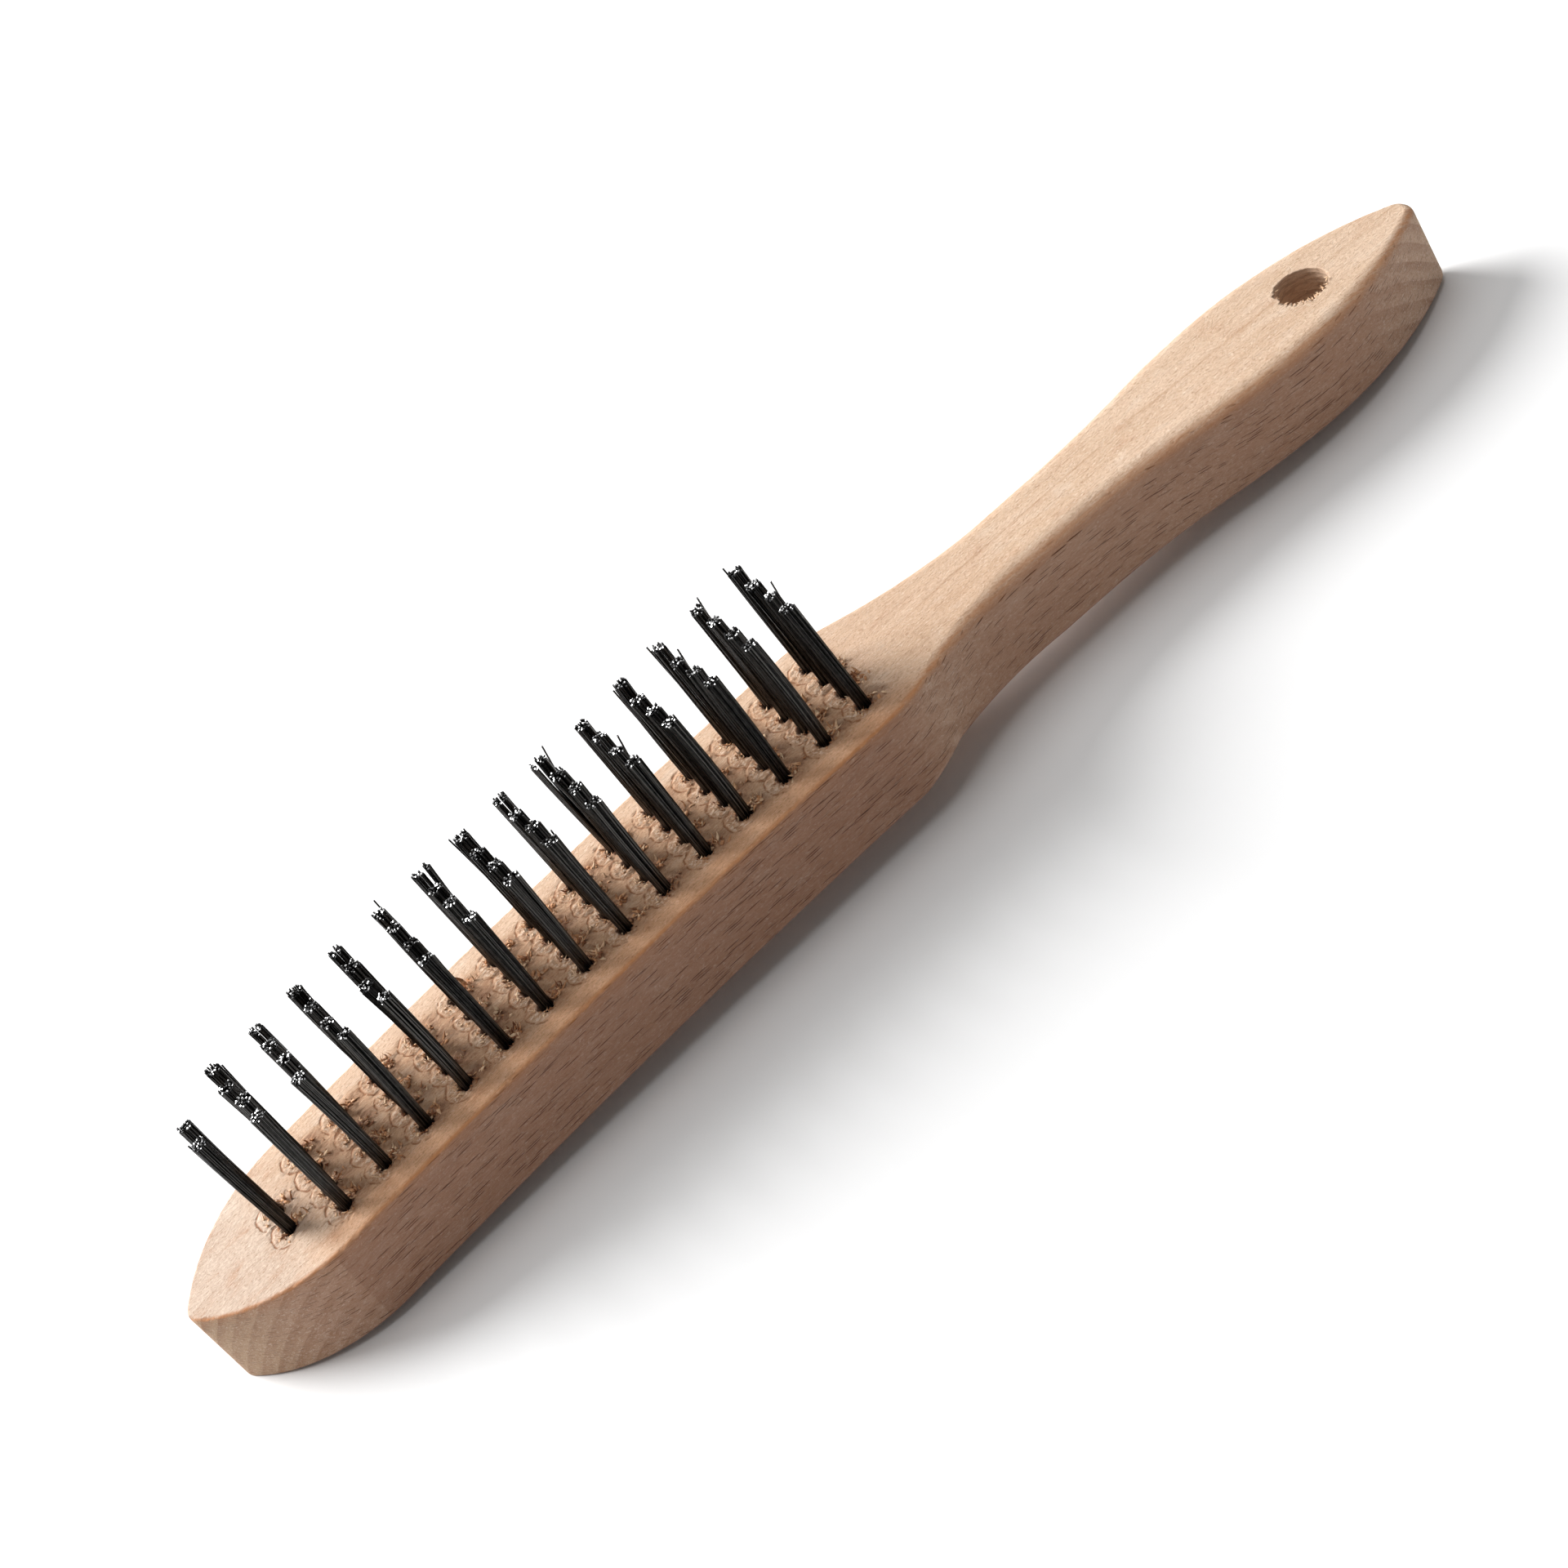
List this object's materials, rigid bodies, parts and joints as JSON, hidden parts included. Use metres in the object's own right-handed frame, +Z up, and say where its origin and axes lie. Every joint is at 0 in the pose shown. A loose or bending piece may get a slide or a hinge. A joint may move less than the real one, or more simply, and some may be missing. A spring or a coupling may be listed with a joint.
{
  "type": "wire brush",
  "caption": "Hand wire brush: bowed hardwood block with pointed ends, upright steel wire tufts set in rows on its head, slim grip and a hanging hole near the tail.",
  "frame": {"origin": "on the surface the brush lies on, under the middle of its length and width", "axes": "+X along the brush from the nose to the tail, +Y across it, +Z up out of the bristle side; the tufts lean 1.6 degrees towards the nose because the brush lies on the two ends of its bowed back"},
  "size_m": [0.291, 0.033, 0.0495],
  "materials": {
    "beech": "sanded, untreated",
    "wire": "dark oiled spring wire with bright cut ends",
    "anchor_steel": "plain flat wire"
  },
  "bodies": {
    "root": {"handle_block": "beech", "tuft_row01_b": "wire", "tuft_row01_c": "wire", "tuft_row02_a": "wire", "tuft_row02_b": "wire", "tuft_row02_c": "wire", "tuft_row02_d": "wire", "tuft_row03_a": "wire", "tuft_row03_b": "wire", "tuft_row03_c": "wire", "tuft_row03_d": "wire", "tuft_row04_a": "wire", "tuft_row04_b": "wire", "tuft_row04_c": "wire", "tuft_row04_d": "wire", "tuft_row05_a": "wire", "tuft_row05_b": "wire", "tuft_row05_c": "wire", "tuft_row05_d": "wire", "tuft_row06_a": "wire", "tuft_row06_b": "wire", "tuft_row06_c": "wire", "tuft_row06_d": "wire", "tuft_row07_a": "wire", "tuft_row07_b": "wire", "tuft_row07_c": "wire", "tuft_row07_d": "wire", "tuft_row08_a": "wire", "tuft_row08_b": "wire", "tuft_row08_c": "wire", "tuft_row08_d": "wire", "tuft_row09_a": "wire", "tuft_row09_b": "wire", "tuft_row09_c": "wire", "tuft_row09_d": "wire", "tuft_row10_a": "wire", "tuft_row10_b": "wire", "tuft_row10_c": "wire", "tuft_row10_d": "wire", "tuft_row11_a": "wire", "tuft_row11_b": "wire", "tuft_row11_c": "wire", "tuft_row11_d": "wire", "tuft_row12_a": "wire", "tuft_row12_b": "wire", "tuft_row12_c": "wire", "tuft_row12_d": "wire", "tuft_row13_a": "wire", "tuft_row13_b": "wire", "tuft_row13_c": "wire", "tuft_row13_d": "wire", "tuft_row14_a": "wire", "tuft_row14_b": "wire", "tuft_row14_c": "wire", "tuft_row14_d": "wire", "tuft_row15_a": "wire", "tuft_row15_b": "wire", "tuft_row15_c": "wire", "tuft_row15_d": "wire", "tuft_anchors": "anchor_steel"}
  },
  "joints": []
}
